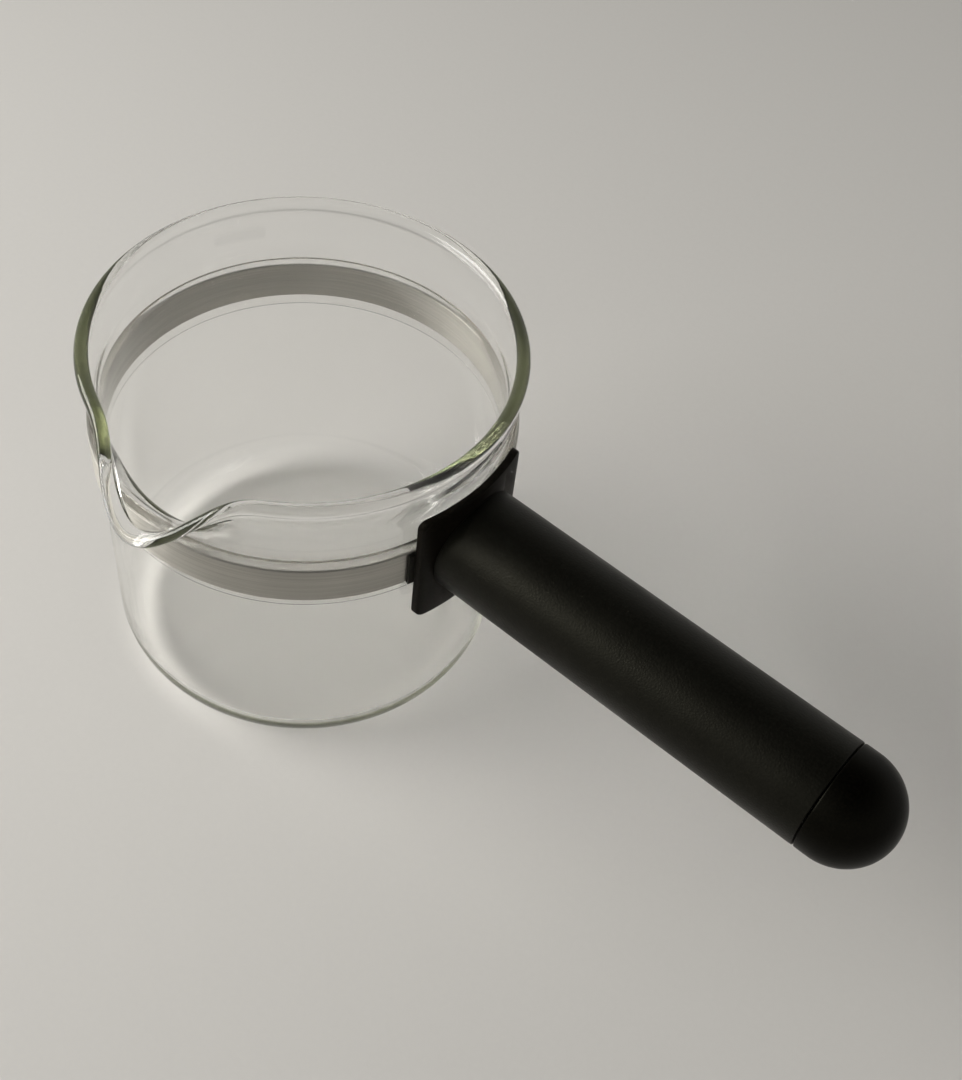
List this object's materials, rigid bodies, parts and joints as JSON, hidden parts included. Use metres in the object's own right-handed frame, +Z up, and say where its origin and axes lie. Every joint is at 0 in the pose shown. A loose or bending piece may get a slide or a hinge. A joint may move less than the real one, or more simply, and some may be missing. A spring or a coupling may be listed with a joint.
{
  "type": "coffee server carafe",
  "caption": "Small straight-sided glass coffee server with a pouring lip, a steel clamp band and a straight black side handle whose domed end cap unscrews.",
  "frame": {"origin": "middle of the glass's base, on the surface that it stands on", "axes": "+Z up along the glass's axis, +X along the handle, away from the glass"},
  "size_m": [0.1965, 0.1016, 0.0855],
  "materials": {
    "glass": "clear, faintly green in the rim",
    "sleeve": "clear",
    "band_steel": "brushed round the band",
    "liner": "matt black",
    "saddle_plastic": "matt black",
    "grip_plastic": "matt black with a fine grain",
    "cap_plastic": "satin black",
    "rod_steel": "plain",
    "brass": "plain"
  },
  "bodies": {
    "vessel": {"glass_beaker": "glass"},
    "handle": {"clear_sleeve": "sleeve", "clamp_band": "band_steel", "band_liner": "liner", "saddle": "saddle_plastic", "grip": "grip_plastic", "tie_rod": "rod_steel", "ear_pin": "rod_steel"},
    "thrust_washer": {"cap_washer": "rod_steel"},
    "cap": {"end_cap": "cap_plastic", "cap_insert": "brass"}
  },
  "joints": [
    {"name": "clamp_slide", "type": "slide", "parent": "vessel", "child": "handle", "axis": [0, 0, -1], "range_m": [0, 0.046]},
    {"name": "cap_travel", "type": "slide", "parent": "handle", "child": "thrust_washer", "axis": [1, 0, 0], "range_m": [0, 0.0048]},
    {"name": "cap_turn", "type": "hinge", "parent": "thrust_washer", "child": "cap", "pos_m": [0.135, 0, 0.0618], "axis": [1, 0, 0], "range_deg": [0, 2160]}
  ],
  "couplings": [
    {"joint": "cap_travel", "follows": "cap_turn", "m_per_rad": 0.00012732}
  ]
}
